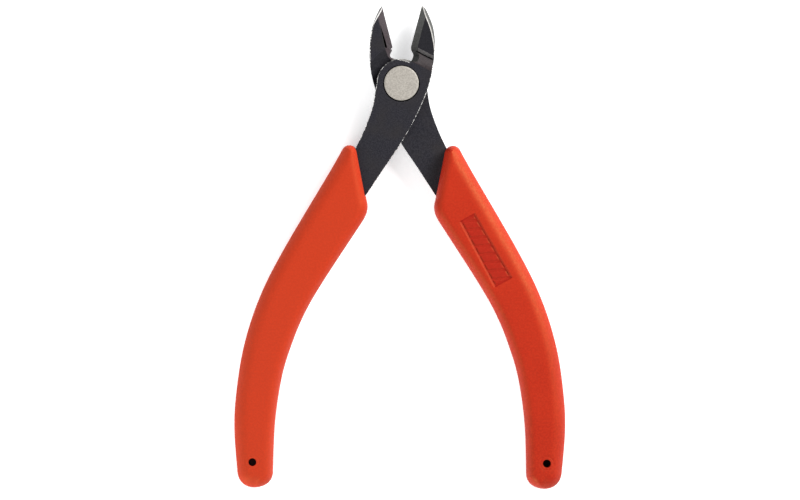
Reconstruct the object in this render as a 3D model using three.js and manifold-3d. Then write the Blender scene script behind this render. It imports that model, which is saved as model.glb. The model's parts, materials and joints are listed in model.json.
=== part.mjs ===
// Diagonal cutting pliers of the stamped-plate kind: two flat steel halves lapped at one
// large flat rivet, ground shear jaws, moulded rubber grips and a wire spring that opens them.
// Millimetres. The tool lies on its back: X to the right, Y toward the jaws, Z up.
// Outlines are drawn about the pivot, then everything is moved so that the middle of the
// footprint is the origin.
import * as THREE from 'three';
import { mergeVertices } from 'three/addons/utils/BufferGeometryUtils.js';
import Module from 'manifold-3d';

const wasm = await Module();
wasm.setup();

// Heights
const GRIP_T = 11;                 // thickness of both grips, flat underside at z = 0
const Z_LAP = GRIP_T / 2;          // plane where the two halves lap
const PLATE_T = 3;                 // thickness of each steel half
const GAP = 0.3;                   // clearance between pieces that touch
const JAW_HALF = 2.2;              // the jaws reach this far to each side of the lap plane
const Z_PLATE0 = Z_LAP + GAP / 2;  // underside of the front half
const Z_PLATE1 = Z_PLATE0 + PLATE_T;
const Z_JAW0 = Z_LAP - JAW_HALF;
const Z_JAW1 = Z_LAP + JAW_HALF;

// Pivot
const PIVOT_Y = 47.05;             // pivot above the middle of the tool's length
const LAP_R = 7.06;                // lap disc
const SHANK_R = 3.2;
const HEAD_R = 5;
const HEAD_SINK = 0.9;             // depth of the seat that the rivet head sits in
const HEAD_PROUD = 0.25;
const WASHER_R = 4.8;
const WASHER_Z0 = 0.4;
const WASHER_T = 0.55;
const TAIL_R = 2;

// Jaws
const EDGE_ANGLE = THREE.MathUtils.degToRad(14.2);  // each cutting edge from the centre line
const EDGE_R0 = 10.9;              // the edge runs radially from here
const EDGE_R1 = 23.1;              // to the tip
const LAND = 0.5;                  // upright land at the flush back of the edge
const BEVEL_W = 2;                 // width of the bevel that falls to the edge

// Spring
const WIRE_R = 0.4;
const WIRE_Z = Z_LAP - PLATE_T - GAP / 2 - GAP - WIRE_R;
const BOW_R = SHANK_R + GAP + WIRE_R;

// Right grip's panel
const PANEL = { x: 24.3, y: -47.9, length: 21.6, width: 5.5, depth: 0.5, turn: -60.7 };
const HOLE = { x: 42.3, y: -109.1, r: 1.18 };

const v2 = (x, y) => new THREE.Vector2(x, y);
const v3 = (x, y, z) => new THREE.Vector3(x, y, z);
const polar = (r, a) => v2(r * Math.cos(a), r * Math.sin(a));

// ---------- solids ----------
function solid(geometry) {
  const g = geometry.clone();
  g.deleteAttribute('normal');
  g.deleteAttribute('uv');
  const m = mergeVertices(g, 1e-4);
  return new wasm.Manifold(new wasm.Mesh({
    numProp: 3,
    vertProperties: Float32Array.from(m.attributes.position.array),
    triVerts: Uint32Array.from(m.index.array),
  }));
}

function geometryOf(body) {
  const mesh = body.getMesh();
  const g = new THREE.BufferGeometry();
  g.setAttribute('position', new THREE.BufferAttribute(Float32Array.from(mesh.vertProperties), 3));
  g.setIndex(new THREE.BufferAttribute(Uint32Array.from(mesh.triVerts), 1));
  const flat = g.toNonIndexed();
  flat.computeVertexNormals();
  return flat;
}

function slab(shape, z0, z1, segments = 12) {
  const g = new THREE.ExtrudeGeometry(shape, { depth: z1 - z0, bevelEnabled: false, curveSegments: segments });
  g.translate(0, 0, z0);
  return solid(g);
}

function disc(r, z0, z1, x = 0, y = 0, segments = 48) {
  const g = new THREE.CylinderGeometry(r, r, z1 - z0, segments);
  g.rotateX(Math.PI / 2);
  g.translate(x, y, (z0 + z1) / 2);
  return solid(g);
}

function box(w, d, h, x, y, z, turn = 0) {
  const g = new THREE.BoxGeometry(w, d, h);
  g.rotateZ(THREE.MathUtils.degToRad(turn));
  g.translate(x, y, z);
  return solid(g);
}

function tube(curve, r, steps) {
  const ring = new THREE.Shape();
  ring.absarc(0, 0, r, 0, Math.PI * 2);
  return solid(new THREE.ExtrudeGeometry(ring, {
    extrudePath: curve, steps, bevelEnabled: false, curveSegments: 5,
  }));
}

// Moves each corner of a closed outline outwards by d.
function grown(points, d) {
  const n = points.length;
  return points.map((p, i) => {
    const before = points[(i + n - 1) % n];
    const after = points[(i + 1) % n];
    const a = p.clone().sub(before).normalize();
    const b = after.clone().sub(p).normalize();
    const na = v2(a.y, -a.x);
    const nb = v2(b.y, -b.x);
    const mid = na.clone().add(nb).normalize();
    return p.clone().addScaledVector(mid, d / Math.max(0.5, mid.dot(na)));
  });
}

function anticlockwise(points) {
  const open = points.slice();
  if (open[0].distanceTo(open[open.length - 1]) < 1e-6) open.pop();
  return THREE.ShapeUtils.area(open) < 0 ? open.reverse() : open;
}

// ---------- outline of the front half, pivot at 0,0 ----------
function leverOutline() {
  const s = new THREE.Shape();
  const tip = polar(EDGE_R1, Math.PI / 2 - EDGE_ANGLE);
  const heel = polar(EDGE_R0, Math.PI / 2 - EDGE_ANGLE);
  s.moveTo(tip.x, tip.y);
  s.lineTo(heel.x, heel.y);
  s.splineThru([v2(2.8, 9.5), v2(3.35, 8.4), v2(2.6, LAP_R * 0.93)]);
  s.absarc(0, 0, LAP_R, THREE.MathUtils.degToRad(68), Math.PI, false);
  s.splineThru([v2(-7.5, -2.4), v2(-8.5, -7.6), v2(-11, -14.3), v2(-14.2, -20.8)]);
  // tang inside the grip, down to its rounded end
  s.splineThru([v2(-20.5, -32), v2(-31, -50), v2(-38.8, -66), v2(-43.4, -82), v2(-45, -97), v2(-44.8, -108)]);
  s.absarc(-41.8, -108, 3, Math.PI, Math.PI * 2, false);
  s.splineThru([v2(-38.8, -97), v2(-37.4, -84), v2(-33, -70), v2(-25.6, -56), v2(-14.6, -39), v2(-9.2, -31)]);
  // bare inner edge up past the crotch to the jaw
  s.splineThru([v2(-4.8, -24.3), v2(0, -17.2), v2(4.2, -9.6), v2(7.3, -2.4), v2(8.75, 2.9)]);
  s.splineThru([v2(9.4, 8), v2(9.55, 12.5), v2(8.8, 16.8), v2(7.4, 20.5)]);
  s.lineTo(tip.x, tip.y);
  return anticlockwise(s.getPoints(8));
}

function lever(outline) {
  let body = slab(new THREE.Shape(outline), Z_JAW0, Z_PLATE1);
  // below the lap plane only the jaw stays, outside the other half's lap disc
  const below = new THREE.Shape([v2(-80, -130), v2(30, -130), v2(30, 0), v2(-80, 0)]);
  body = body.subtract(slab(below, 0, Z_PLATE0));
  body = body.subtract(disc(LAP_R + GAP, 0, Z_PLATE0, 0, 0, 64));
  // the jaw's face is set back from the lap face by a ramp and a shoulder
  const ramp = new THREE.Shape([
    v2(0, Z_PLATE1 + 0.01), v2(3.2, Z_JAW1 - 0.7), v2(3.4, Z_JAW1 - 0.5), v2(4.3, Z_JAW1),
    v2(40, Z_JAW1), v2(40, Z_PLATE1 + 5), v2(0, Z_PLATE1 + 5),
  ]);
  const g = new THREE.ExtrudeGeometry(ramp, { depth: 60, bevelEnabled: false });
  g.translate(0, 0, -30);
  g.rotateX(Math.PI / 2);
  g.rotateZ(THREE.MathUtils.degToRad(90 - 27));
  g.translate(4.6, 5.4, 0);
  body = body.subtract(solid(g));
  // hole for the rivet
  return body.subtract(disc(SHANK_R + GAP, 0, GRIP_T));
}

// Ground bevel of the right jaw: it falls from the jaw's face to the cutting edge at the back.
function bevelCutter() {
  const bevel = new THREE.Shape([
    v2(0, Z_JAW0 + LAND), v2(BEVEL_W, Z_JAW1 + 0.001), v2(BEVEL_W, Z_JAW1 + 3), v2(-1.2, Z_JAW1 + 3),
    v2(-1.2, Z_JAW0 + LAND),
  ]);
  const g = new THREE.ExtrudeGeometry(bevel, { depth: 16, bevelEnabled: false });
  g.rotateX(Math.PI / 2);
  g.translate(0, EDGE_R0 - 0.6 + 16, 0);
  g.rotateZ(-EDGE_ANGLE);
  return solid(g);
}

// The rear half is the same blank turned over.
function turnedOver(body) {
  return body.mirror([1, 0, 0]).translate([0, 0, -Z_LAP]).mirror([0, 0, 1]).translate([0, 0, Z_LAP]);
}

// ---------- grip outline on the left ----------
function gripOutline() {
  const s = new THREE.Shape();
  s.moveTo(-16.88, -18.97);
  s.splineThru([v2(-20.6, -25.6), v2(-34, -48.5), v2(-40.8, -62.4), v2(-45.1, -76.2), v2(-47.2, -90),
    v2(-47.6, -100), v2(-46.7, -112)]);
  s.bezierCurveTo(-46.4, -114.9, -44.3, -116.5, -41.8, -116.5);
  s.bezierCurveTo(-38.9, -116.5, -36.6, -115, -36.4, -112.4);
  s.splineThru([v2(-35.9, -98), v2(-34.1, -85.2), v2(-31.5, -76.1), v2(-27.8, -66.9), v2(-22.5, -57.5),
    v2(-11.2, -40.1)]);
  s.bezierCurveTo(-9.5, -37.5, -9.2, -35.8, -9.9, -33.4);
  s.absarc(-14.88, -20.2, 2.35, THREE.MathUtils.degToRad(10), THREE.MathUtils.degToRad(148), false);
  return anticlockwise(s.getPoints(7));
}

function gripBlank(outline) {
  const round = 1.8;
  const g = new THREE.ExtrudeGeometry(new THREE.Shape(outline), {
    depth: GRIP_T - 2 * round, bevelEnabled: true, bevelThickness: round, bevelSize: round,
    bevelOffset: -round, bevelSegments: 4,
  });
  g.translate(0, 0, round);
  return solid(g);
}

// ---------- spring: a bow over the rivet's tail with one leg to each grip ----------
function springCurve() {
  const leg = (sx) => [v3(sx * 17.2, -36, WIRE_Z), v3(sx * 13.6, -28, WIRE_Z), v3(sx * 10, -18, WIRE_Z),
    v3(sx * 6.3, -8, WIRE_Z)];
  const bow = [];
  for (let a = 188; a >= -8; a -= 28) {
    const p = polar(BOW_R, THREE.MathUtils.degToRad(a));
    bow.push(v3(p.x, p.y, WIRE_Z));
  }
  return new THREE.CatmullRomCurve3([...leg(-1), ...bow, ...leg(1).reverse()], false, 'centripetal');
}

// ---------- assembly ----------
const outline = leverOutline();
const pocketOutline = new THREE.Shape(grown(outline, GAP));
const blank = gripBlank(gripOutline());
const curve = springCurve();

const half = lever(outline);
const bevel = bevelCutter();
const frontLever = half
  .subtract(bevel)
  .subtract(disc(HEAD_R + GAP, Z_PLATE1 - HEAD_SINK, GRIP_T, 0, 0, 64));
const rearLever = turnedOver(half).subtract(bevel.mirror([1, 0, 0]));

const channel = tube(curve, WIRE_R + GAP, 70);
const pocket = slab(pocketOutline, Z_PLATE0 - GAP, Z_PLATE1 + GAP);
const leftGrip = blank
  .subtract(pocket)
  .subtract(channel)
  .subtract(disc(HOLE.r, Z_PLATE1, GRIP_T + 1, -HOLE.x, HOLE.y, 20));

let rightGrip = blank.mirror([1, 0, 0])
  .subtract(turnedOver(pocket))
  .subtract(channel)
  .subtract(disc(HOLE.r, Z_LAP, GRIP_T + 1, HOLE.x, HOLE.y, 20))
  .subtract(box(PANEL.length, PANEL.width, 2 * PANEL.depth, PANEL.x, PANEL.y, GRIP_T, PANEL.turn));
// plain slanted bars stand in the panel
const turn = THREE.MathUtils.degToRad(PANEL.turn);
for (let i = -4; i <= 4; i += 1) {
  const x = PANEL.x + i * 2.1 * Math.cos(turn);
  const y = PANEL.y + i * 2.1 * Math.sin(turn);
  const z = GRIP_T - PANEL.depth + 0.05;
  rightGrip = rightGrip.add(box(0.8, 3.4, 0.6, x, y, z, PANEL.turn - 25));
}

const rivetProfile = [
  v2(0, WASHER_Z0), v2(TAIL_R, WASHER_Z0), v2(TAIL_R, WASHER_Z0 + WASHER_T + GAP),
  v2(SHANK_R, WASHER_Z0 + WASHER_T + GAP), v2(SHANK_R, Z_PLATE1 - HEAD_SINK + GAP),
  v2(HEAD_R, Z_PLATE1 - HEAD_SINK + GAP), v2(HEAD_R, Z_PLATE1 + HEAD_PROUD - 0.25),
  v2(HEAD_R - 0.25, Z_PLATE1 + HEAD_PROUD), v2(0, Z_PLATE1 + HEAD_PROUD),
];
const rivetGeometry = new THREE.LatheGeometry(rivetProfile, 48);
rivetGeometry.rotateX(Math.PI / 2);
const washer = disc(WASHER_R, WASHER_Z0, WASHER_Z0 + WASHER_T)
  .subtract(disc(TAIL_R + GAP, 0, GRIP_T));

const BLACK_STEEL = { color: 0x37373b, roughness: 0.55, metalness: 0.85 };
const RUBBER = { color: 0xd1452c, roughness: 0.7, metalness: 0 };
const RIVET_STEEL = { color: 0xbdb6aa, roughness: 0.4, metalness: 0.9 };
const SPRING_STEEL = { color: 0x8e9094, roughness: 0.35, metalness: 0.9 };

const group = new THREE.Group();
group.name = 'diagonal_cutting_pliers';

function place(name, body, look) {
  const g = geometryOf(body);
  g.translate(0, PIVOT_Y, 0);
  const mesh = new THREE.Mesh(g, new THREE.MeshStandardMaterial(look));
  mesh.name = name;
  group.add(mesh);
}

place('front_lever', frontLever, BLACK_STEEL);
place('rear_lever', rearLever, BLACK_STEEL);
place('pivot_rivet', solid(rivetGeometry), RIVET_STEEL);
place('pivot_washer', washer, RIVET_STEEL);
place('return_spring', tube(curve, WIRE_R, 70), SPRING_STEEL);
place('left_grip', leftGrip, RUBBER);
place('right_grip', rightGrip, RUBBER);

export default group;
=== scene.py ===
# Diagonal cutting pliers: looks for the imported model, in metres and in its own frame.
# Shapes are drawn in millimetres about the pivot, and to_frame() scales each of them once.
import json
import math

import bmesh
import bpy
import numpy as np
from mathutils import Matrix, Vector, geometry


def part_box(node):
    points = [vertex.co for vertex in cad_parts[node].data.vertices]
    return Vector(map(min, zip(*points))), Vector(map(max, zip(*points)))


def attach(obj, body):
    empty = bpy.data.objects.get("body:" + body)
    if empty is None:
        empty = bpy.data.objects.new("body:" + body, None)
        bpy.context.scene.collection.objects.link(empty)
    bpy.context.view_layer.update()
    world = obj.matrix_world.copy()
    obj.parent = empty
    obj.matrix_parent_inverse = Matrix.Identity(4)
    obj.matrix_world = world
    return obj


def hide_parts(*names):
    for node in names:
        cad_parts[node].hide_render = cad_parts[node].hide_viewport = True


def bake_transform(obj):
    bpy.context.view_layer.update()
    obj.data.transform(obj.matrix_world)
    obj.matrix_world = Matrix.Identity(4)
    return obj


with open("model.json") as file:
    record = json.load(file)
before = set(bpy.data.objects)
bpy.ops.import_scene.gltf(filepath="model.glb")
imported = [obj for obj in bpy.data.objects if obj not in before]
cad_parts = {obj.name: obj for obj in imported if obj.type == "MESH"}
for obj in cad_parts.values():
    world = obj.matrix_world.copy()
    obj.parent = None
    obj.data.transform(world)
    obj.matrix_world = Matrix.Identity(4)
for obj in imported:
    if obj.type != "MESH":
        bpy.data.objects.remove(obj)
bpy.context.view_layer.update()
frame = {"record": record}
scene = bpy.context.scene

MM = 0.001
pivot = Vector(frame["record"]["behaviour"]["joints"][0]["pos_m"])
Z_LAP = pivot.z / MM
GRIP_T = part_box("left_grip")[1][2] / MM
PLATE_LOW = 0.15                                       # plate's near face from the lap plane
PLATE_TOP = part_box("front_lever")[1][2] / MM - Z_LAP   # plate's far face from the lap plane
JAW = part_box("rear_lever")[1][2] / MM - Z_LAP          # jaws reach this far each side of it
RIVET_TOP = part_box("pivot_rivet")[1][2] / MM
HEAD_R = 4.97                                          # rivet's head
SHANK_R = 3.2                                          # and its shank
SINK = 0.9                                             # depth of the counterbore for the head
LAP_R = 7.06                                           # lap disc of each half
EDGE_TAN = math.tan(math.radians(14.2))                # slope of the cutting edges
BEYOND = 6                                             # clear of every face of both halves
SKIM = 0.002                                           # keeps a cut off a face it shares

# ---------------------------------------------------------------- camera
VIEW_W = 230.0 * MM            # width seen at the tool's height
VIEW_X, VIEW_Y = -0.19 * MM, -0.90 * MM
ROLL = math.radians(0.29)
CAM_H = 2.0                    # camera's height over the tool's faces
FACES_H = 0.008
SENSOR = 36                    # sensor's width


def make_camera():
    data = bpy.data.cameras.new("camera")
    data.sensor_width = SENSOR
    data.lens = SENSOR * CAM_H / VIEW_W
    data.clip_end = 10
    cam = bpy.data.objects.new("camera", data)
    cam.location = (VIEW_X, VIEW_Y, CAM_H + FACES_H)
    cam.rotation_euler = (0, 0, ROLL)
    scene.collection.objects.link(cam)
    scene.camera = cam


make_camera()


# ---------------------------------------------------------------- curves
def spline(points, steps=10):
    """Points along a Catmull-Rom curve through the given points, the first left out."""
    out = []
    last = len(points) - 1
    for i in range(last):
        p0, p1, p2, p3 = (Vector(points[max(0, min(last, i + k))]) for k in (-1, 0, 1, 2))
        for s in range(1, steps + 1):
            t = s / steps
            v0, v1 = (p2 - p0) / 2, (p3 - p1) / 2
            out.append((2 * p1 - 2 * p2 + v0 + v1) * t**3
                       + (-3 * p1 + 3 * p2 - 2 * v0 - v1) * t**2 + v0 * t + p1)
    return out


def bezier(a, b, c, d, steps=12):
    """Points along a cubic curve from a to d, the first left out."""
    a, b, c, d = (Vector(p) for p in (a, b, c, d))
    return [a * (1 - t)**3 + 3 * b * t * (1 - t)**2 + 3 * c * t * t * (1 - t) + d * t**3
            for t in (s / steps for s in range(1, steps + 1))]


def arc(cx, cy, r, start, end, steps=24):
    """Points along an arc between two angles in degrees, both ends included."""
    angles = (math.radians(start + (end - start) * s / steps) for s in range(steps + 1))
    return [Vector((cx + r * math.cos(a), cy + r * math.sin(a))) for a in angles]


def circle(r, steps, cy=0):
    return arc(0, cy, r, 0, 360, steps)[:-1]


def tidy_loop(points, least=0.02):
    """Drops points that sit on their neighbour and makes the loop run anticlockwise."""
    out = [points[0]]
    for p in points[1:]:
        if (p - out[-1]).length > least:
            out.append(p)
    if (out[-1] - out[0]).length < least:
        out.pop()
    area = sum(a.x * b.y - b.x * a.y for a, b in zip(out, out[1:] + out[:1]))
    return out if area > 0 else out[::-1]


# ---------------------------------------------------------------- meshes
def new_object(name, bm):
    mesh = bpy.data.meshes.new(name)
    bm.normal_update()
    bm.to_mesh(mesh)
    bm.free()
    obj = bpy.data.objects.new(name, mesh)
    scene.collection.objects.link(obj)
    return obj


def prism(loop, low, high):
    """A flat outline given thickness, from one height to another."""
    bm = bmesh.new()
    bottom = [bm.verts.new((p[0], p[1], low)) for p in loop]
    top = [bm.verts.new((p[0], p[1], high)) for p in loop]
    bm.faces.new(bottom[::-1])
    bm.faces.new(top)
    n = len(loop)
    for i in range(n):
        j = (i + 1) % n
        bm.faces.new((bottom[i], bottom[j], top[j], top[i]))
    return new_object("work", bm)


def loft(sections):
    """A closed solid through cross-sections with the same number of points."""
    bm = bmesh.new()
    rings = [[bm.verts.new(p) for p in s] for s in sections]
    n = len(rings[0])
    for a, b in zip(rings, rings[1:]):
        for i in range(n):
            j = (i + 1) % n
            bm.faces.new((a[i], a[j], b[j], b[i]))
    bm.faces.new(rings[0][::-1])
    bm.faces.new(rings[-1])
    bmesh.ops.recalc_face_normals(bm, faces=bm.faces)
    return new_object("work", bm)


def lathe(profile, steps=96):
    """Turns an (r, z) profile that starts and ends on the axis."""
    bm = bmesh.new()
    verts = [bm.verts.new((r, 0, z)) for r, z in profile]
    edges = [bm.edges.new(pair) for pair in zip(verts, verts[1:])]
    bmesh.ops.spin(bm, geom=verts + edges, cent=(0, 0, 0), axis=(0, 0, 1),
                   angle=math.tau, steps=steps)
    bmesh.ops.remove_doubles(bm, verts=bm.verts, dist=1e-4)
    bmesh.ops.recalc_face_normals(bm, faces=bm.faces)
    return new_object("work", bm)


def apply_modifiers(obj):
    """Replaces the mesh by what its modifiers make of it."""
    graph = bpy.context.evaluated_depsgraph_get()
    mesh = bpy.data.meshes.new_from_object(obj.evaluated_get(graph))
    obj.modifiers.clear()
    obj.data = mesh


def carve(obj, cutter, material=None):
    """Cuts a shape away. The cut faces take the given material, or else the black steel."""
    set_materials(cutter, material or STEEL)
    mod = obj.modifiers.new("cut", "BOOLEAN")
    mod.solver = "EXACT"
    mod.material_mode = "TRANSFER"
    mod.object = cutter
    apply_modifiers(obj)
    bpy.data.objects.remove(cutter)


def clean_flats(obj):
    """Merges the slivers that the cuts leave in flat faces."""
    bm = bmesh.new()
    bm.from_mesh(obj.data)
    bmesh.ops.remove_doubles(bm, verts=bm.verts, dist=1e-3)
    bmesh.ops.dissolve_limit(bm, angle_limit=math.radians(0.4), verts=bm.verts, edges=bm.edges)
    bm.to_mesh(obj.data)
    bm.free()


def chamfer(obj, width):
    """Breaks the sharp edges of a plate's outline, with the worn edge material, partly painted
    highlight, on the break.
    """
    mod = obj.modifiers.new("rim", "BEVEL")
    mod.width = width
    mod.segments = 2
    mod.limit_method = "ANGLE"
    mod.angle_limit = math.radians(60)
    mod.material = 1
    apply_modifiers(obj)


def soften(obj, width, segments=2, angle=28, edge_slot=0):
    """Rounds the hard edges a little and shades the rest smooth."""
    mod = obj.modifiers.new("edges", "BEVEL")
    mod.width = width
    mod.segments = segments
    mod.limit_method = "ANGLE"
    mod.angle_limit = math.radians(angle)
    mod.use_clamp_overlap = True
    mod.material = edge_slot
    apply_modifiers(obj)
    bm = bmesh.new()
    bm.from_mesh(obj.data)
    for face in bm.faces:
        face.smooth = True
    for edge in bm.edges:
        if len(edge.link_faces) == 2:
            edge.smooth = edge.calc_face_angle() < math.radians(34)
    bm.to_mesh(obj.data)
    bm.free()
    obj.modifiers.new("normals", "WEIGHTED_NORMAL").keep_sharp = True


def to_frame(obj, middle, side=1, up=1):
    """Scales a shape drawn in millimetres, its heights counted from middle, into the frame."""
    for v in obj.data.vertices:
        x, y, h = v.co
        v.co = (side * x * MM, pivot.y + y * MM, (middle + up * h) * MM)
    obj.data.update()


def place(obj, name, body, node, side=1, up=1):
    """Puts a steel piece in the frame, in the place of its CAD node."""
    to_frame(obj, Z_LAP, side, up)
    obj.name = obj.data.name = name
    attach(obj, body)
    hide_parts(node)
    return obj


# ---------------------------------------------------------------- materials
class Nodes:
    """A material's node tree, with short calls for the nodes used here."""

    def __init__(self, name):
        self.material = bpy.data.materials.new(name)
        self.material.use_nodes = True
        self.tree = self.material.node_tree
        self.shader = self.tree.nodes["Principled BSDF"]
        self.coords = self.tree.nodes.new("ShaderNodeTexCoord").outputs["Object"]

    def node(self, kind, **inputs):
        """A new node, with its inputs set by name. An underscore stands for a space."""
        node = self.tree.nodes.new(kind)
        for key, value in inputs.items():
            self.put(node.inputs[key.replace("_", " ")], value)
        return node

    def put(self, socket, value):
        """Links an output to the socket, or sets a constant on it."""
        if isinstance(value, bpy.types.NodeSocket):
            self.tree.links.new(value, socket)
        else:
            socket.default_value = value

    def noise(self, size_mm, detail=2.0, stretch=(1, 1, 1)):
        """Noise whose blobs are about size_mm across."""
        mapping = self.node("ShaderNodeMapping", Vector=self.coords, Scale=stretch)
        node = self.node("ShaderNodeTexNoise", Vector=mapping.outputs[0],
                         Scale=1 / (size_mm * MM), Detail=detail)
        return node.outputs[0]

    def ramp(self, value, low, high, to_low=0.0, to_high=1.0):
        """Eases the value from one range to another."""
        node = self.node("ShaderNodeMapRange", Value=value)
        node.interpolation_type = "SMOOTHSTEP"
        for key, number in (("From Min", low), ("From Max", high),
                            ("To Min", to_low), ("To Max", to_high)):
            node.inputs[key].default_value = number
        return node.outputs[0]

    def mix(self, factor, a, b):
        node = self.tree.nodes.new("ShaderNodeMix")
        node.data_type = "RGBA"
        self.put(node.inputs["Factor"], factor)
        self.put(node.inputs["A"], a if isinstance(a, bpy.types.NodeSocket) else (*a, 1))
        self.put(node.inputs["B"], b if isinstance(b, bpy.types.NodeSocket) else (*b, 1))
        return node.outputs["Result"]

    def math(self, operation, a, b=0.0):
        node = self.tree.nodes.new("ShaderNodeMath")
        node.operation = operation
        self.put(node.inputs[0], a)
        self.put(node.inputs[1], b)
        return node.outputs[0]

    def bump(self, height, depth_mm, strength=1.0, below=None):
        node = self.node("ShaderNodeBump", Height=height, Strength=strength,
                         Distance=depth_mm * MM)
        if below is not None:
            self.put(node.inputs["Normal"], below)
        return node.outputs[0]

    def finish(self, colour, roughness, metallic=0.0, specular=0.5, normal=None):
        self.put(self.shader.inputs["Base Color"], colour)
        self.put(self.shader.inputs["Roughness"], roughness)
        self.shader.inputs["Metallic"].default_value = metallic
        self.shader.inputs["Specular IOR Level"].default_value = specular
        if normal is not None:
            self.put(self.shader.inputs["Normal"], normal)
        return self.material


def black_steel(name, tone=1.0):
    """Blackened steel, finely mottled, with warmer clouds. tone darkens the mottling."""
    n = Nodes(name)
    cloud = n.ramp(n.noise(9, 3), 0.42, 0.72)
    grain = n.ramp(n.noise(0.32, 3), 0.35, 0.65)
    deep = [c * tone for c in (0.0076, 0.0074, 0.0115)]
    light = [c * tone for c in (0.0225, 0.0215, 0.0275)]
    cool = n.mix(grain, deep, light)
    colour = n.mix(n.math("MULTIPLY", cloud, 0.5), cool, (0.022, 0.019, 0.0185))
    rough = n.ramp(n.noise(0.6, 3), 0.25, 0.75, 0.44, 0.60)
    return n.finish(colour, rough, 0.0, 0.25, n.bump(n.noise(0.25, 3), 0.035, 0.9))


def worn_edge_painted_highlight():
    """Black steel rubbed bright in patches on the broken edges; the near-white patches are also a
    painted highlight.
    """
    n = Nodes("worn_edge_painted_highlight")
    wear = n.ramp(n.noise(0.4, 2), 0.44, 0.58)
    colour = n.mix(wear, (0.030, 0.029, 0.032), (0.85, 0.83, 0.80))
    rough = n.ramp(n.noise(0.3, 2), 0.3, 0.7, 0.3, 0.5)
    return n.finish(colour, rough, 0.2, 0.5, n.bump(n.noise(0.1, 2), 0.01, 0.6))


def ground_steel(name, light, dark, metallic=0.45, specular=0.4):
    """Steel with the fine marks of a grinding wheel across it."""
    n = Nodes(name)
    marks = n.noise(0.14, 3, (0.25, 1.0, 0.6))
    colour = n.mix(n.ramp(marks, 0.35, 0.65), dark, light)
    rough = n.ramp(n.noise(0.5, 2), 0.3, 0.7, 0.4, 0.58)
    return n.finish(colour, rough, metallic, specular, n.bump(marks, 0.012, 0.7))


def rivet_steel():
    """Bare dull steel with fine specks and a few pits."""
    n = Nodes("rivet_steel")
    speck = n.ramp(n.noise(0.42, 4), 0.36, 0.66)
    pits = n.ramp(n.noise(0.6, 1), 0.62, 0.72)
    base = n.mix(speck, (0.315, 0.290, 0.255), (0.43, 0.40, 0.354))
    colour = n.mix(n.math("MULTIPLY", pits, 0.35), base, (0.22, 0.20, 0.18))
    rough = n.ramp(n.noise(0.4, 2), 0.3, 0.7, 0.5, 0.66)
    return n.finish(colour, rough, 0.2, 0.4, n.bump(n.noise(0.3, 3), 0.03, 0.8))


def spring_steel():
    """Drawn wire, with marks along it."""
    n = Nodes("spring_steel")
    drawn = n.noise(0.3, 3, (1, 0.2, 1))
    colour = n.mix(n.ramp(drawn, 0.3, 0.7), (0.20, 0.20, 0.21), (0.34, 0.34, 0.35))
    rough = n.ramp(n.noise(0.5, 2), 0.3, 0.7, 0.28, 0.42)
    return n.finish(colour, rough, 0.9, 0.5, n.bump(drawn, 0.008, 0.6))


FALLOFF_LOW, FALLOFF_HIGH = -0.075, 0.03       # Y, in metres, over which the rubber is painted lighter toward the pivot, as light falling off down the handles
HIGHLIGHT = (1.0, 0.78, 0.25, 1)         # tint of the rubber's gloss


def grip_rubber(name, deep, light, specular):
    """Matt moulded rubber, painted lighter toward the pivot as light falling off, with the mould's
    parting line halfway up its sides.
    """
    n = Nodes(name)
    point = n.node("ShaderNodeSeparateXYZ", Vector=n.coords)
    # painted light: the tone rises toward the pivot end
    along = n.ramp(point.outputs["Y"], FALLOFF_LOW, FALLOFF_HIGH)
    cloud = n.math("MULTIPLY_ADD", n.ramp(n.noise(14, 3), 0.3, 0.7), 0.35)
    n.put(cloud.node.inputs[2], n.math("MULTIPLY", along, 0.65))
    speck = n.ramp(n.noise(0.55, 4), 0.36, 0.68)
    base = n.mix(cloud, deep, light)
    bright = tuple(min(1, c * 1.16) for c in light)
    colour = n.mix(n.math("MULTIPLY", speck, 0.6), base, bright)
    rough = n.ramp(n.noise(0.8, 3), 0.3, 0.7, 0.50, 0.62)
    off = n.math("ABSOLUTE", n.math("SUBTRACT", point.outputs["Z"], Z_LAP * MM))
    seam = n.ramp(off, 0.05 * MM, 0.22 * MM, 1.0, 0.0)
    fine = n.bump(n.noise(0.3, 4), 0.035, 0.8)
    n.shader.inputs["Specular Tint"].default_value = HIGHLIGHT
    return n.finish(colour, rough, 0.0, specular, n.bump(seam, 0.06, 1.0, fine))


STEEL = black_steel("black_steel")
# darker steel: the front jaw's dropped face, and painted shade in the scoop beside the lap disc and in
# the ramp's groove
STEEL_DARK_AND_SHADE = black_steel("black_steel_dark_and_painted_shade", 0.6)
EDGE_WEAR_HIGHLIGHT = worn_edge_painted_highlight()
BEVEL_FRONT = ground_steel("ground_bevel_front", (0.036, 0.037, 0.034), (0.0175, 0.018, 0.0165),
                           0.1, 0.2)
BEVEL_REAR = ground_steel("ground_bevel_rear", (0.045, 0.032, 0.036), (0.026, 0.018, 0.0205), 0.1, 0.15)
RAMP = ground_steel("ground_ramp", (0.040, 0.030, 0.031), (0.021, 0.0165, 0.018), 0.0, 0.2)
STRIP = ground_steel("ground_shoulder", (0.072, 0.067, 0.066), (0.040, 0.038, 0.038), 0.1, 0.2)
FACET = ground_steel("ground_facet", (0.085, 0.086, 0.080), (0.050, 0.050, 0.047))
# ground steel painted bright, as a highlight
GROUND_HIGHLIGHT = ground_steel("ground_painted_highlight", (0.47, 0.455, 0.43), (0.25, 0.24, 0.225), 0.2)
GLINT = ground_steel("ground_glint", (0.86, 0.84, 0.81), (0.60, 0.58, 0.56), 0.1)
# near black, painted as shade in the counterbore and in the wedge beside the rear bevel
RECESS_SHADE = ground_steel("recess_painted_shade", (0.004, 0.004, 0.005), (0.002, 0.002, 0.002), 0.0, 0.05)
RIVET = rivet_steel()
SPRING = spring_steel()
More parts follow.
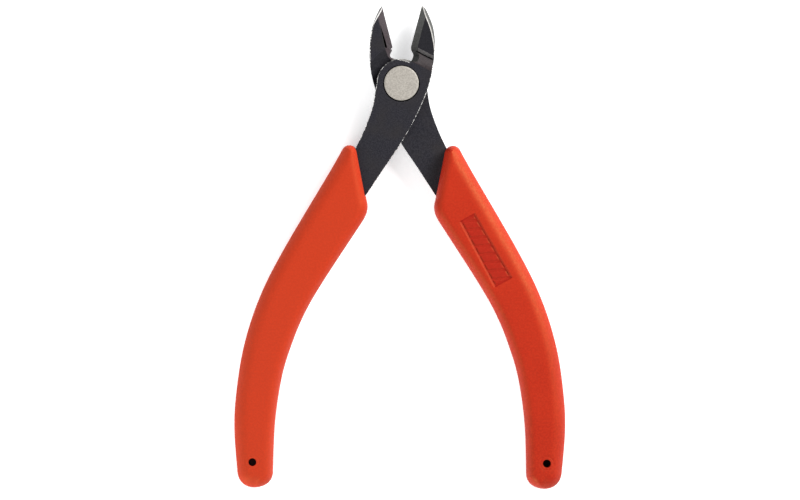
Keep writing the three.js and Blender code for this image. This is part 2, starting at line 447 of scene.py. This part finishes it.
# the left grip is painted a lighter red than the right, as light that falls more on it, and the panel's
# floor a deeper red, as painted shade in its recess
RUBBER_LEFT_LIT = grip_rubber("grip_rubber_left_painted_lit", (0.418, 0.0345, 0.0142), (0.438, 0.0330, 0.0115), 0.15)
RUBBER_PANEL_SHADE = grip_rubber("grip_rubber_panel_painted_shade", (0.300, 0.0090, 0.0066), (0.335, 0.0118, 0.0078), 0.25)
RUBBER_RIGHT_SHADED = grip_rubber("grip_rubber_right_painted_shade", (0.325, 0.0100, 0.0060), (0.402, 0.0180, 0.0076), 0.33)


def set_materials(obj, *materials):
    """Gives a new mesh its materials. Its faces keep the slot numbers they already have."""
    for m in materials:
        obj.data.materials.append(m)


# ---------------------------------------------------------------- steel halves
# Each half is drawn from the front as if it were the front one: its jaw on the right, its
# handle on the left, heights from the lap plane toward its own plate. The rear half is then
# turned over. face = 1 is the half whose bevel lies on its plate's side, the front one.
TIP = (5.72, 22.39)                      # jaw's point
HEEL = (10.57 * EDGE_TAN, 10.57)         # lower end of the cutting edge
OUTER_FRONT = [(8.75, 2.9), (9.4, 8), (9.55, 12.2), (9.05, 16), (8.05, 18.9), (6.95, 21.3), (6.1, 22.25)]
RAMP_AT = (4.6, 5.4, -27)                # a point on the ramp's top line, and its turn
OUTER_REAR = [(8.75, 2.9), (9.2, 6.8), (9.2, 10.8), (8.9, 14), (8.35, 16.9), (7.45, 19.3), (6.6, 21.2),
              (6.05, 22.3)]


def half_outline(face):
    """Round one half from the tip: cutting edge, throat, lap disc, handle and outer edge."""
    loop = [Vector(TIP), Vector(HEEL)]
    if face > 0:
        loop += spline([HEEL, (2.8, 9.5), (3.35, 8.3), (3.0, 6.9), (2.3, 6.1), (0.9, 6.35), (-1, 6.85)])
        loop += arc(0, 0, LAP_R, 101, 180, 40)
    else:
        loop += spline([HEEL, (2.8, 9.5), (3.3, 8.4), (3.1, 7.5), (1.5, 6.9)])
        loop += arc(0, 0, LAP_R, 80, 180, 50)
    loop += spline([(-7.06, 0), (-7.5, -2.4), (-8.5, -7.6), (-11, -14.3), (-14.2, -20.8)])
    loop += spline([(-14.2, -20.8), (-20.5, -32), (-31, -50), (-38.8, -66), (-43.4, -82),
                    (-45, -97), (-44.8, -108)], 6)
    loop += arc(-41.8, -108, 3, 180, 360, 12)
    loop += spline([(-38.8, -108), (-38.8, -97), (-37.4, -84), (-33, -70), (-25.6, -56),
                    (-14.6, -39), (-9.2, -31)], 6)
    loop += spline([(-9.2, -31), (-4.8, -24.3), (0, -17.2), (4.2, -9.6), (7.3, -2.4), (8.75, 2.9)])
    loop += spline((OUTER_FRONT if face > 0 else OUTER_REAR) + [TIP])
    return tidy_loop(loop, 0.15)


def slope_cutter(profile, x, y, turn, length=60):
    """A profile of (distance, height) points swept along a line through x, y."""
    a = math.radians(turn)
    along = Vector((math.cos(a), math.sin(a), 0)) * length / 2
    across = Vector((-math.sin(a), math.cos(a), 0))
    ends = []
    for sign in (-1, 1):
        centre = Vector((x, y, 0)) + sign * along
        ends.append([centre + across * d + Vector((0, 0, h)) for d, h in profile])
    return loft(ends)


def bevel_cutter(face):
    """Cuts the bevel that falls to the cutting edge, and the rim round the throat below it."""
    main, rim = (1.95, 2.2) if face > 0 else (2.1, 1.3)
    edge_low = -1.7                      # the cutting edge lies this far past the lap plane
    stations = [(26 * EDGE_TAN, 26, main, edge_low), (10.4 * EDGE_TAN, 10.4, main, edge_low),
                (2.9, 9.2, (main + rim) / 2, -1.2), (3.1, 7.8, rim, -0.6), (2.0, 6.2, rim + 0.3, 0.6)]
    clear, top = -1.4, JAW + 3           # the cutter goes on into the open on both sides
    sections = []
    for x, y, width, low in stations:
        profile = [(0, low), (width, JAW + SKIM), (width, top), (clear, top), (clear, low)]
        sections.append([Vector((x + d, y, face * h)) for d, h in profile])
    return loft(sections)


def edge_cutter(line, face, width, slope):
    """Grinds off the jaw's outer edge along a line of (x, y, drop), from width inside it.

    The cut falls outward at the slope, from drop below the jaw's face."""
    sections = []
    for x, y, drop in line:
        inner, outer = x - width, x + 2
        high, top = JAW + SKIM / 2 - drop, JAW + 1.5
        profile = [(inner, high), (outer, high - slope * (outer - inner)), (outer, top), (inner, top)]
        sections.append([Vector((px, y, face * h)) for px, h in profile])
    return loft(sections)


def groove_cutter(stations, face):
    """A narrow wedge sunk beside the bevel: (x, y, width, depth) at each station."""
    sections = []
    for x, y, width, depth in stations:
        high, low = face * (JAW + 0.5), face * (JAW - depth)
        sections.append([Vector((x, y, high)), Vector((x, y, low)),
                         Vector((x - width, y, low)), Vector((x - width, y, high))])
    return loft(sections)


def rim_cutter():
    """Bares the rim of the rear lap disc where it shows in the throat."""
    profile = [(6.2, 0.1), (6.2, PLATE_LOW + SKIM / 2), (7.5, PLATE_LOW + 0.75), (7.5, 0.1)]
    sections = []
    for a in range(64, 117, 4):
        c, s = math.cos(math.radians(a)), math.sin(math.radians(a))
        sections.append([Vector((r * c, r * s, h)) for r, h in profile])
    return loft(sections)


def cut_lap(obj):
    """Clears the rivet's hole and the room that the other half's lap disc needs."""
    carve(obj, prism(circle(SHANK_R + 0.2, 64), -BEYOND, BEYOND))
    # below the lap plane only the jaw stays, outside the other half's lap disc
    seam = -0.03
    clear = [(-80, -130), (30, -130), (30, seam)]
    clear += arc(0, seam, LAP_R + 0.3, 0, 180, 48)
    clear += [(-80, seam)]
    carve(obj, prism(clear, -BEYOND, PLATE_LOW))
    # the jaw's near side falls away toward the other half's lap disc, and the slope is painted with the
    # darker steel as the shade beside that disc
    scoop_r, scoop_depth = 10.6, 1.6
    carve(obj, lathe([(0, -JAW - 1), (scoop_r, -JAW - 1), (scoop_r, -JAW - SKIM),
                      (7.3, -JAW + scoop_depth), (0, -JAW + scoop_depth)]), STEEL_DARK_AND_SHADE)


def cut_ramp(obj, face):
    """Drops the jaw's face below the lap face, past a ramp, a groove and a ground shoulder."""
    above = PLATE_TOP + 5
    foot, shoulder = 3.2, 4.3            # distances from the ramp's top line
    # the front jaw's dropped face takes the darker steel
    carve(obj, slope_cutter([(0, PLATE_TOP + 0.01), (foot, JAW), (40, JAW), (40, above), (0, above)],
                            *RAMP_AT), STEEL_DARK_AND_SHADE if face > 0 else STEEL)
    carve(obj, slope_cutter([(0, PLATE_TOP + 0.005), (3.15, JAW - 0.7), (3.3, JAW - 1.0),
                             (3.45, JAW - 0.5), (shoulder, JAW + SKIM / 2), (shoulder, above),
                             (0, above)], *RAMP_AT), RAMP)
    carve(obj, slope_cutter([(3.44, JAW - 0.53), (shoulder + 0.06, JAW + SKIM / 2), (3.0, JAW + 0.6)],
                            *RAMP_AT), STRIP)
    # the groove is painted with the darker steel, as shade
    near, far, deep = 3.1, 3.48, JAW - 1.3
    carve(obj, slope_cutter([(near, deep), (far, deep), (far, JAW + 1), (near, JAW + 1)],
                            *RAMP_AT), STEEL_DARK_AND_SHADE)


def grind_front_jaw(obj, face):
    """Worn outer edge with a painted highlight, and the ground facet that runs up to the tip with a
    painted highlight along it.
    """
    carve(obj, edge_cutter([(x, y, 0) for x, y in OUTER_FRONT], face, 0.12, 1.0), EDGE_WEAR_HIGHLIGHT)
    line = [(5.98, 22.6, 3.6), (6.1, 22.2, 3.25), (6.62, 20.3, 1.25), (6.98, 19.2, 0), (7.85, 17.1, 0),
            (8.65, 14.6, 0), (9.25, 11.6, 0), (9.6, 8.6, 0)]
    carve(obj, edge_cutter(line, face, 0.0, 1.4), FACET)
    # painted highlight: bright ground steel along the facet's inner edge
    carve(obj, edge_cutter(line, face, 0.17, 0.6), GROUND_HIGHLIGHT)


def grind_rear_jaw(obj, face):
    """Worn outer edge with a painted highlight, a painted glint at the tip, a wedge of painted shade
    beside the bevel and the bared disc rim, painted bright as its highlight.
    """
    carve(obj, edge_cutter([(x, y, 0) for x, y in OUTER_REAR], face, 0.24, 0.5), EDGE_WEAR_HIGHLIGHT)
    line = [(5.45, 22.6, 3.9), (5.6, 22.1, 3.8), (6.14, 20.9, 2.85), (7.0, 19.3, 0.5), (7.3, 18.75, 0),
            (7.72, 18, 0), (8.5, 16.6, 0), (9.15, 14.2, 0), (9.6, 11, 0)]
    carve(obj, edge_cutter(line, face, 0.0, 1.6), FACET)
    carve(obj, edge_cutter(line, face, 0.3, 0.25), GLINT)
    rim = [(6.3, 16.9, 0.1, 0.1), (5.32, 12, 0.5, 0.2), (4.9, 10.2, 0.5, 0.2)]
    carve(obj, groove_cutter(rim, face), STRIP)
    wedge = [(6.22, 16.8, 0.05, 0.3), (5.18, 12, 0.58, 1.9), (4.76, 10.2, 0.6, 2.1)]
    # the wedge is painted near black, as shade beside the bevel
    carve(obj, groove_cutter(wedge, face), RECESS_SHADE)
    # the bared rim is painted bright, as its highlight
    carve(obj, rim_cutter(), GROUND_HIGHLIGHT)


def steel_half(face):
    obj = prism(half_outline(face), -JAW, PLATE_TOP)
    set_materials(obj, STEEL, EDGE_WEAR_HIGHLIGHT)
    chamfer(obj, 0.13)
    cut_lap(obj)
    cut_ramp(obj, face)
    carve(obj, bevel_cutter(face), BEVEL_FRONT if face > 0 else BEVEL_REAR)
    if face > 0:
        grind_front_jaw(obj, face)
    else:
        grind_rear_jaw(obj, face)
    clean_flats(obj)
    return obj


EDGE_BREAK = 0.12      # rounding of the steel's other edges

front = steel_half(1)
# the counterbore is a little wider than the rivet's head, and sits a little low of it; its walls and
# floor are painted near black, as the shade in the gap round the head
carve(front, prism(circle(HEAD_R + 0.3, 120, cy=-0.07), PLATE_TOP - SINK, PLATE_TOP + 2), RECESS_SHADE)
soften(front, EDGE_BREAK, edge_slot=1)
place(front, "front_half_steel", "front_half", "front_lever")

rear = steel_half(-1)
soften(rear, EDGE_BREAK, edge_slot=1)
place(rear, "rear_half_steel", "rear_half", "rear_lever", side=-1, up=-1)


# ---------------------------------------------------------------- pivot
def pivot_pieces():
    top = RIVET_TOP - Z_LAP
    seat = PLATE_TOP - SINK + 0.02
    tail_end, tail_top, tail_r = -5.08, -4.25, 2.0
    rivet = lathe([(0, tail_end), (tail_r - 0.2, tail_end), (tail_r, -4.9), (tail_r, tail_top),
                   (SHANK_R, tail_top), (SHANK_R, seat), (4.9, seat), (HEAD_R, seat + 0.1),
                   (HEAD_R, top - 0.3), (HEAD_R - 0.06, top - 0.12), (HEAD_R - 0.25, top - 0.02),
                   (HEAD_R - 0.55, top), (0, top)])
    set_materials(rivet, RIVET)
    soften(rivet, 0.02, 1, 50)
    place(rivet, "pivot_rivet_turned", "rear_half", "pivot_rivet")
    low, high = (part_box("pivot_washer")[i][2] / MM - Z_LAP for i in (0, 1))
    washer = lathe([(2.2, low + 0.1), (2.3, low), (4.6, low), (4.8, low + 0.15),
                    (4.8, high - 0.15), (4.6, high), (2.2, high), (2.2, low + 0.1)])
    set_materials(washer, RIVET)
    soften(washer, 0.02, 1, 50)
    place(washer, "pivot_washer_turned", "rear_half", "pivot_washer")


pivot_pieces()


# ---------------------------------------------------------------- spring
BOW_R = 3.9            # the wire's bow round the rivet's tail
WIRE_R = 0.4
WIRE_SIDES = 16


def return_spring():
    """A wire bow with a leg into each grip."""
    z = sum(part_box("return_spring")[i][2] for i in (0, 1)) / 2 / MM - Z_LAP
    bow = [(BOW_R * math.cos(math.radians(a)), BOW_R * math.sin(math.radians(a)))
           for a in range(188, -9, -28)]
    leg = [(17.2, -36), (13.6, -28), (10, -18), (6.3, -8)]
    path = [(-x, y) for x, y in leg] + bow + leg[::-1]
    points = [Vector(path[0])] + spline(path, 8)
    bm = bmesh.new()
    rings = []
    for i, p in enumerate(points):
        ahead = points[min(i + 1, len(points) - 1)] - points[max(i - 1, 0)]
        side = Vector((-ahead.y, ahead.x)).normalized()
        ring = []
        for k in range(WIRE_SIDES):
            a = math.tau * k / WIRE_SIDES
            q = p + side * WIRE_R * math.cos(a)
            ring.append(bm.verts.new((q.x, q.y, z + WIRE_R * math.sin(a))))
        rings.append(ring)
    for a, b in zip(rings, rings[1:]):
        for k in range(WIRE_SIDES):
            j = (k + 1) % WIRE_SIDES
            bm.faces.new((a[k], a[j], b[j], b[k]))
    bm.faces.new(rings[0])
    bm.faces.new(rings[-1][::-1])
    bmesh.ops.recalc_face_normals(bm, faces=bm.faces)
    for f in bm.faces:
        f.smooth = len(f.verts) == 4
    obj = new_object("return_spring_wire", bm)
    to_frame(obj, Z_LAP)
    set_materials(obj, SPRING)
    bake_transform(obj)
    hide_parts("return_spring")


return_spring()


# ---------------------------------------------------------------- grips
def grip_outline():
    """The left grip from the front, from its mouth's top corner down the palm side and back up
    the finger side. Also returns how many of the points lie on the palm side."""
    loop = [Vector((-16.88, -18.97))]
    loop += spline([(-16.88, -18.97), (-20.6, -25.6), (-34, -48.5), (-40.8, -62.4), (-45.1, -76.2),
                    (-47.2, -90), (-47.6, -100), (-46.7, -112)], 24)
    loop += bezier((-46.7, -112), (-46.4, -114.9), (-44.3, -116.5), (-41.8, -116.5), 16)
    palm = len(tidy_loop(loop, 0.05))
    loop += bezier((-41.8, -116.5), (-38.9, -116.5), (-36.6, -115), (-36.4, -112.4), 16)
    loop += spline([(-36.4, -112.4), (-35.9, -98), (-34.1, -85.2), (-31.5, -76.1), (-27.8, -66.9),
                    (-22.5, -57.5), (-11.2, -40.1)], 20)
    loop += bezier((-11.2, -40.1), (-9.5, -37.5), (-9.2, -35.8), (-9.9, -33.4), 14)
    loop += [Vector((-9.9, -33.4)).lerp(Vector((-12.57, -19.79)), t / 14) for t in range(1, 14)]
    loop += arc(-14.88, -20.2, 2.35, 10, 148, 22)
    return tidy_loop(loop, 0.05), palm


PANEL = {"x": -24.3, "y": -47.8, "half_length": 10.85, "half_width": 2.85, "flare": 0.2, "turn": -119.3}
PANEL_MARGIN = 0.55 # fine points go on this far round the panel
FINE = 0.15         # and lie this far apart
PANEL_DEPTH = 0.42
BAR_PITCH = 2.7
BAR_RISE = 0.2
HOLE_X, HOLE_Y, HOLE_R = -42.3, -109.1, 1.18
RING_R = 1.95       # faint ring that the mould pin left round the hole
RING_DEPTH = 0.07
PALM_R = 4.1        # rounding of the grips' long edges on the palm side
FINGER_R = 2.8      # and on the finger side and at the mouth
FLANK = 2.4         # half the height of the upright part of the sides
SIDE_RINGS = (0.03, 0.1, 0.25, 0.5, 0.85, 1.3, 1.8, 2.4, 3.1, 3.9, 4.8)    # insets of mesh rings
GRID = 1.1          # spacing of the points on the flat of the grips


def step(x, low, high):
    """Eases from 0 at low to 1 at high."""
    t = np.clip((x - low) / (high - low), 0, 1)
    return t * t * (3 - 2 * t)


def line_distance(points, line):
    """Distance of each point from a line through the given points."""
    ends = np.array([tuple(p) for p in line])
    best = np.full(len(points), 1e9)
    for a, b in zip(ends, ends[1:]):
        t = np.clip(((points - a) @ (b - a)) / ((b - a) @ (b - a)), 0, 1)
        best = np.minimum(best, np.hypot(*(points - a - t[:, None] * (b - a)).T))
    return best


def side_profile(d, radius):
    """Height of the grip's skin above its middle, at a distance d in from a side."""
    t = np.clip(d / radius, 0, 1)
    rounded = (1 - (1 - t)**2.15)**(1 / 1.12)
    return np.where(d < 0.1, FLANK * np.clip(d / 0.1, 0, 1)**0.5, FLANK + (GRIP_T / 2 - FLANK) * rounded)


def panel_coords(x, y):
    """Distances along and across the panel, from its middle."""
    a = math.radians(PANEL["turn"])
    u = (x - PANEL["x"]) * math.cos(a) + (y - PANEL["y"]) * math.sin(a)
    v = -(x - PANEL["x"]) * math.sin(a) + (y - PANEL["y"]) * math.cos(a)
    return u, v


def panel_inset(x, y):
    """Distance inside the recessed panel's outline, which widens toward the handle's end."""
    u, v = panel_coords(x, y)
    round_r = 0.35
    half_width = PANEL["half_width"] + PANEL["flare"] * u / PANEL["half_length"]
    qx = np.abs(u) - PANEL["half_length"] + round_r
    qy = np.abs(v) - half_width + round_r
    return round_r - np.hypot(np.maximum(qx, 0), np.maximum(qy, 0)) - np.minimum(np.maximum(qx, qy), 0)


def panel_depth(x, y):
    """How far the recessed panel and its slanted bars lie under the skin."""
    u, v = panel_coords(x, y)
    inset = panel_inset(x, y)
    slanted = u + 0.45 * v
    bar = np.abs(slanted - BAR_PITCH * np.round(slanted / BAR_PITCH))
    raised = step(inset, 0.75, 0.95) * (1 - step(bar, 0.75, 0.98))
    return PANEL_DEPTH * step(inset, 0, 0.5) - BAR_RISE * raised


def rows(x, y):
    return np.stack([x.ravel(), y.ravel()], axis=1)


def skin_points(outline, closed, with_panel):
    """Where the mesh has its points: rings along the sides, a grid, and finer detail."""
    nxt, prv = np.roll(outline, -1, axis=0), np.roll(outline, 1, axis=0)
    tangent = nxt - prv
    tangent /= np.hypot(*tangent.T)[:, None]
    normal = np.stack([-tangent[:, 1], tangent[:, 0]], axis=1)
    points = [outline]
    for d in SIDE_RINGS:
        ring = outline + normal * d
        points.append(ring[line_distance(ring, closed) > d * 0.985])
    low, high = outline.min(axis=0), outline.max(axis=0)
    grid = rows(*np.meshgrid(np.arange(low[0], high[0], GRID), np.arange(low[1], high[1], GRID)))
    fine = []
    long_end, wide_end = PANEL["half_length"] + PANEL_MARGIN, PANEL["half_width"] + PANEL_MARGIN
    if with_panel:
        a = math.radians(PANEL["turn"])
        us, vs = np.meshgrid(np.arange(-long_end, long_end + 0.01, FINE),
                             np.arange(-wide_end, wide_end + 0.01, FINE))
        fine.append(rows(PANEL["x"] + us * math.cos(a) - vs * math.sin(a),
                         PANEL["y"] + us * math.sin(a) + vs * math.cos(a)))
    hole_rings = [HOLE_R + d for d in (-0.25, -0.12, 0, 0.12, 0.4)]
    hole_rings += [RING_R + d for d in (-0.22, -0.11, 0, 0.11, 0.22, 0.6)]
    angles = np.linspace(0, math.tau, 48, endpoint=False)
    for r in hole_rings:
        fine.append(rows(HOLE_X + r * np.cos(angles), HOLE_Y + r * np.sin(angles)))
    near_hole = np.hypot(grid[:, 0] - HOLE_X, grid[:, 1] - HOLE_Y) < RING_R + 0.9
    u, v = panel_coords(grid[:, 0], grid[:, 1])
    in_panel = with_panel & (np.abs(u) < long_end + 0.2) & (np.abs(v) < wide_end + 0.2)
    grid = grid[~near_hole & ~in_panel]
    grid = grid[line_distance(grid, closed) > 3.6]
    return np.concatenate(points + [grid] + fine)


def grip(name, body, node, side, with_panel):
    """A grip as two skins that meet at its outline. side is 1 on the left and -1 on the right."""
    loop, palm = grip_outline()
    closed = loop + loop[:1]
    outline = np.array([tuple(p) for p in loop])
    everything = skin_points(outline, closed, with_panel)
    n = len(outline)
    edges = [(i, (i + 1) % n) for i in range(n)]
    verts, _, faces, *_ = geometry.delaunay_2d_cdt([Vector(p) for p in everything], edges,
                                                   [list(range(n))], 1, 1e-5)
    flat = np.array([tuple(v) for v in verts])
    d = line_distance(flat, closed)
    height = np.minimum(side_profile(line_distance(flat, closed[:palm]), PALM_R),
                        side_profile(line_distance(flat, closed[palm - 1:]), FINGER_R))
    top = height - panel_depth(flat[:, 0], flat[:, 1]) if with_panel else height
    reach = np.hypot(flat[:, 0] - HOLE_X, flat[:, 1] - HOLE_Y)
    hole_bottom = PLATE_TOP - 0.3 if side > 0 else -PLATE_LOW - 0.3
    top = top - RING_DEPTH * (1 - step(np.abs(reach - RING_R), 0.05, 0.2))
    top = np.where(reach < HOLE_R - 0.05, hole_bottom, top)
    bm = bmesh.new()
    upper = [bm.verts.new((x, y, z)) for (x, y), z in zip(flat, top)]
    rim = d < 1e-3
    lower = [upper[i] if rim[i] else bm.verts.new((flat[i][0], flat[i][1], -height[i]))
             for i in range(len(flat))]
    for f in faces:
        face = bm.faces.new([upper[i] for i in f])
        middle = flat[list(f)].mean(axis=0)
        face.material_index = int(with_panel and panel_inset(*middle) > 0.1)
        if not all(rim[i] for i in f):
            bm.faces.new([lower[i] for i in f][::-1])
    for f in bm.faces:
        f.smooth = True
    obj = new_object(name, bm)
    to_frame(obj, GRIP_T / 2, side)
    if side < 0:
        obj.data.flip_normals()
    set_materials(obj, *([RUBBER_RIGHT_SHADED, RUBBER_PANEL_SHADE] if with_panel else [RUBBER_LEFT_LIT]))
    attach(obj, body)
    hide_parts(node)
    return obj


grip("left_grip_moulded", "front_half", "left_grip", 1, False)
grip("right_grip_moulded", "rear_half", "right_grip", -1, True)


# ---------------------------------------------------------------- floor and light
FLOOR_GLOW = 0.47      # the floor is a backlit sweep, so shadows on it stay faint
SKY = 0.26
# each lamp's place and size in metres, and its power in watts
LAMPS = {"key": ((0.66, 0.52, 0.45), 0.5, 16.0),
         "side": ((-0.85, 0.05, 0.40), 0.5, 1.6),
         "fill": ((-0.50, -0.75, 0.42), 0.6, 10.4)}


def floor_and_light():
    bm = bmesh.new()
    bmesh.ops.create_grid(bm, x_segments=1, y_segments=1, size=3)
    floor = new_object("floor", bm)
    n = Nodes("floor_paper")
    tone = n.mix(n.noise(30, 2), (0.90, 0.90, 0.90), (0.93, 0.93, 0.93))
    n.shader.inputs["Emission Color"].default_value = (1, 1, 1, 1)
    n.shader.inputs["Emission Strength"].default_value = FLOOR_GLOW
    set_materials(floor, n.finish(tone, 0.9, 0.0, 0.1))
    world = bpy.data.worlds.new("studio")
    scene.world = world
    world.use_nodes = True
    sky = world.node_tree.nodes["Background"]
    sky.inputs["Color"].default_value = (0.95, 0.97, 1.0, 1)
    sky.inputs["Strength"].default_value = SKY
    for name, (spot, size, power) in LAMPS.items():
        lamp = bpy.data.lights.new(name, "AREA")
        lamp.shape = "SQUARE"
        lamp.size = size
        lamp.energy = power
        obj = bpy.data.objects.new(name, lamp)
        obj.location = spot
        obj.rotation_euler = Vector(spot).to_track_quat("Z", "Y").to_euler()
        scene.collection.objects.link(obj)
    scene.view_settings.view_transform = "Standard"


floor_and_light()
